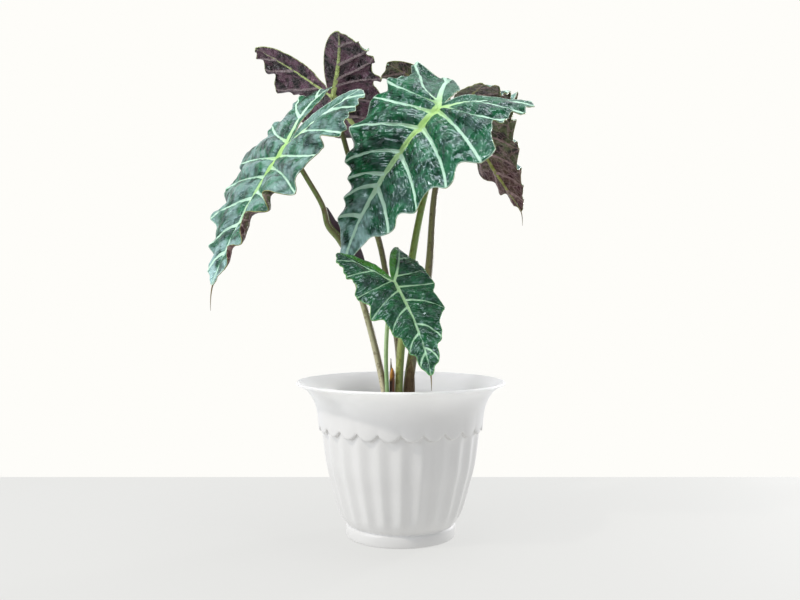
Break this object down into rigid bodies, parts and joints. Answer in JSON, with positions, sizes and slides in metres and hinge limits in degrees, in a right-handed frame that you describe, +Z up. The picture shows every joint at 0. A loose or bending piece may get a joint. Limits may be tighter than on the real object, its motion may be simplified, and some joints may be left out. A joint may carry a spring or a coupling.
{
  "type": "potted alocasia",
  "caption": "Arrow-leaved alocasia with scalloped dark green blades, pale veins and purple undersides, in a fluted white plastic planter with a flared rim and scalloped collar",
  "frame": {"origin": "centre of the planter's flat underside, where it rests", "axes": "+Z up through the planter and plant; -Y towards the front, where the big front blade faces; +X to the right seen from the front"},
  "size_m": [0.3241, 0.2994, 0.4849],
  "materials": {
    "pot_plastic": "satin",
    "potting_soil": "matte",
    "rhizome_skin": "matte",
    "dry_husk": "matte",
    "shoot_skin": "satin",
    "purple_sheath": "satin",
    "leaf_stalk": "satin",
    "young_leaf_stalk": "satin",
    "leaf_blade": "satin",
    "young_leaf_blade": "satin"
  },
  "bodies": {
    "root": {"pot": "pot_plastic", "soil": "potting_soil", "rhizome": "rhizome_skin", "husk_right": "dry_husk", "husk_left": "dry_husk", "shoot": "shoot_skin", "sheath_left": "purple_sheath", "petiole_front": "leaf_stalk", "petiole_left": "leaf_stalk", "petiole_back_left": "leaf_stalk", "petiole_back_right": "leaf_stalk", "petiole_young": "young_leaf_stalk", "blade_front": "leaf_blade", "blade_left": "leaf_blade", "blade_back_left": "leaf_blade", "blade_back_right": "leaf_blade", "blade_young": "young_leaf_blade"}
  },
  "joints": []
}
